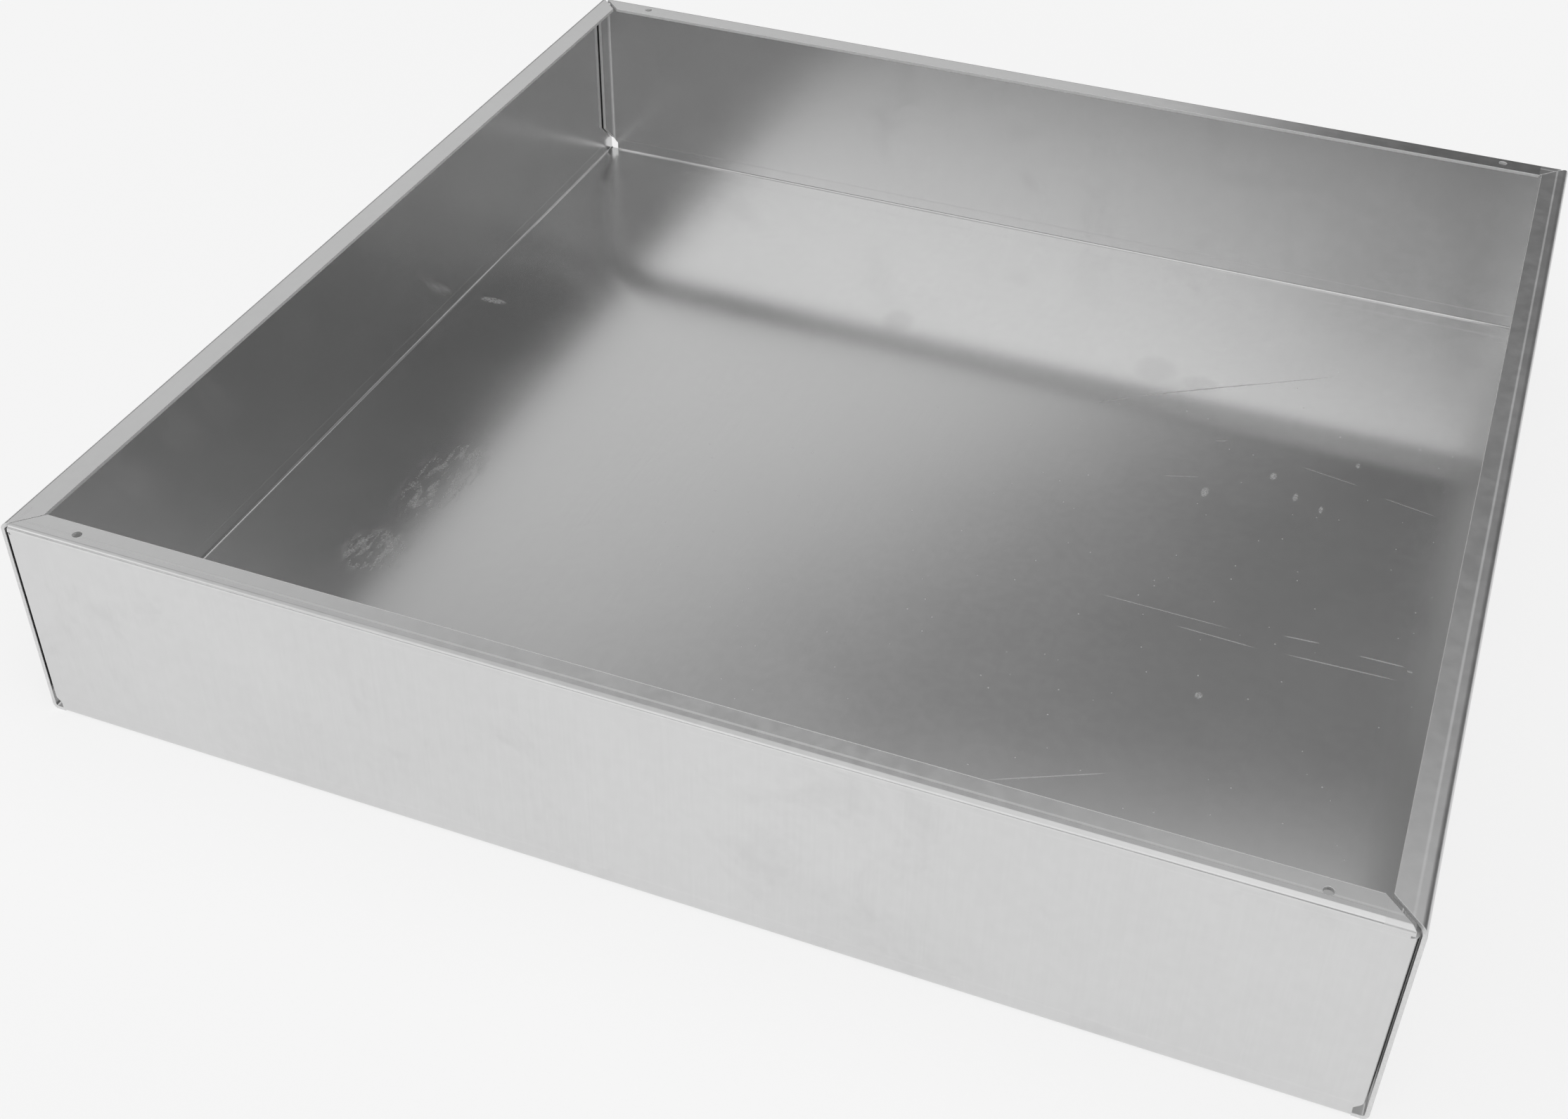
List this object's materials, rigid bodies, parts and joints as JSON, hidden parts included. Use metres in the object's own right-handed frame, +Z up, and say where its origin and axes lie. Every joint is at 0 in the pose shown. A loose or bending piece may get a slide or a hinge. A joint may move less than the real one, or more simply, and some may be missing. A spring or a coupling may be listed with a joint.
{
  "type": "paint tray",
  "caption": "Square deep tray folded from bright sheet metal, with an inward rim flange, mitred rim corners, corner tabs and open corner reliefs.",
  "frame": {"origin": "under the middle of the tray, on the plane it rests on", "axes": "+Z up, +X to the right along the wider side, +Y from the front wall to the rear wall; the rim holes are in the front and rear flanges"},
  "size_m": [0.5, 0.498, 0.09],
  "materials": {
    "floor_sheet": "mill-finish sheet, satin, with fine scratches, dust specks and dried splash marks",
    "wall_sheet": "mill-finish sheet, satin, faintly cloudy, with bend-tool witness lines",
    "rim_sheet": "mill-finish sheet, satin, mottled, with bright sheared edges and bend-tool witness lines"
  },
  "bodies": {
    "root": {"floor_panel": "floor_sheet", "right_wall": "wall_sheet", "right_rim_flange": "rim_sheet", "rear_wall": "wall_sheet", "rear_rim_flange": "rim_sheet", "left_wall": "wall_sheet", "left_rim_flange": "rim_sheet", "front_wall": "wall_sheet", "front_rim_flange": "rim_sheet", "corner_tab_front_left": "wall_sheet", "corner_tab_front_right": "wall_sheet", "corner_tab_rear_left": "wall_sheet", "corner_tab_rear_right": "wall_sheet"}
  },
  "joints": []
}
